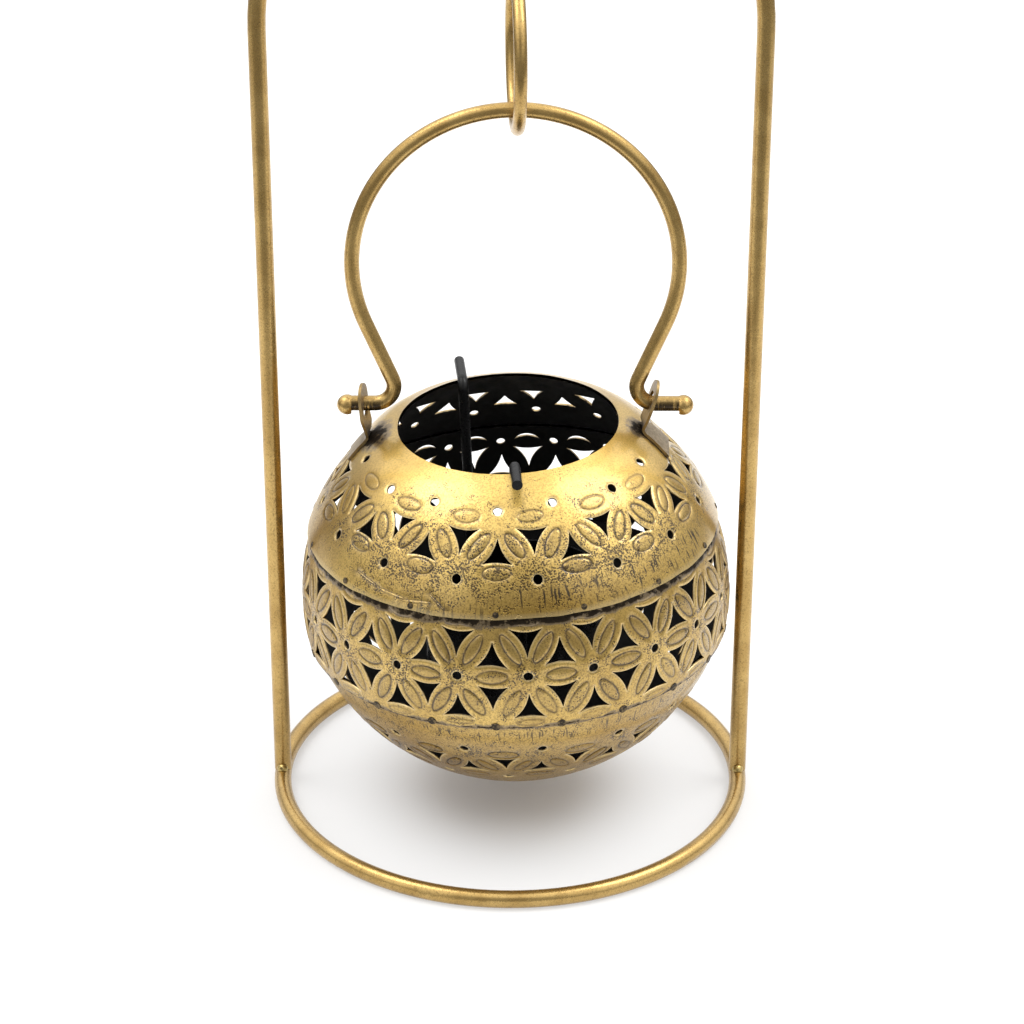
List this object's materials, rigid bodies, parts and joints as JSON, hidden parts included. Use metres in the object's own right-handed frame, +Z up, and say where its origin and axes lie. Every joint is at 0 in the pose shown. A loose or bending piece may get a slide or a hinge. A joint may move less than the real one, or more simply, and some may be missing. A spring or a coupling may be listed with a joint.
{
  "type": "hanging lantern",
  "caption": "Pierced brass globe lantern for a candle, hung by a round wire bail and a ring from the hook of an arched rod stand with a ring foot.",
  "frame": {"origin": "centre of the base ring, on the surface that it stands on", "axes": "+Z up, X along the line of the two uprights, the lantern's front looks along -Y"},
  "size_m": [0.1554, 0.1554, 0.3357],
  "materials": {
    "rod_brass": "satin antique brass on rod and wire, brushed along its length",
    "shell_brass": "antique brass sheet, pitted, with dark patina in the grooves and a black inside",
    "lug_brass": "dull brass strip, scorched where it is brazed",
    "tack_metal": "dull dark tack metal",
    "weld_metal": "bright rough bead",
    "black_iron": "satin black paint"
  },
  "bodies": {
    "stand": {"base_ring": "rod_brass", "stand_arch": "rod_brass", "left_foot_weld": "weld_metal", "right_foot_weld": "weld_metal", "hanger_hook": "rod_brass", "hook_weld": "weld_metal"},
    "hang_ring": {"hang_ring": "rod_brass"},
    "bail": {"bail": "rod_brass", "left_end_ball": "rod_brass", "right_end_ball": "rod_brass"},
    "globe": {"dome": "shell_brass", "middle_band": "shell_brass", "lower_bowl": "shell_brass", "left_lug": "lug_brass", "right_lug": "lug_brass", "upper_seam_tacks": "tack_metal", "lower_seam_tacks": "tack_metal"},
    "cradle": {"front_hook_wire": "black_iron", "rear_hook_wire": "black_iron", "tealight_cup": "black_iron"}
  },
  "joints": [
    {"name": "ring_swing", "type": "hinge", "parent": "stand", "child": "hang_ring", "pos_m": [0.0014, 0, 0.2693], "axis": [1, 0, 0], "range_deg": [-35, 35]},
    {"name": "bail_swing", "type": "hinge", "parent": "hang_ring", "child": "bail", "pos_m": [0.0014, 0, 0.23327], "axis": [1, 0, 0], "range_deg": [-35, 35]},
    {"name": "bail_pivot", "type": "hinge", "parent": "bail", "child": "globe", "pos_m": [0.0014, 0, 0.1369], "axis": [1, 0, 0], "range_deg": [-90, 90]},
    {"name": "cradle_lift", "type": "slide", "parent": "globe", "child": "cradle", "axis": [-0.0419, -0.0087, 0.9991], "range_m": [0, 0.085]}
  ]
}
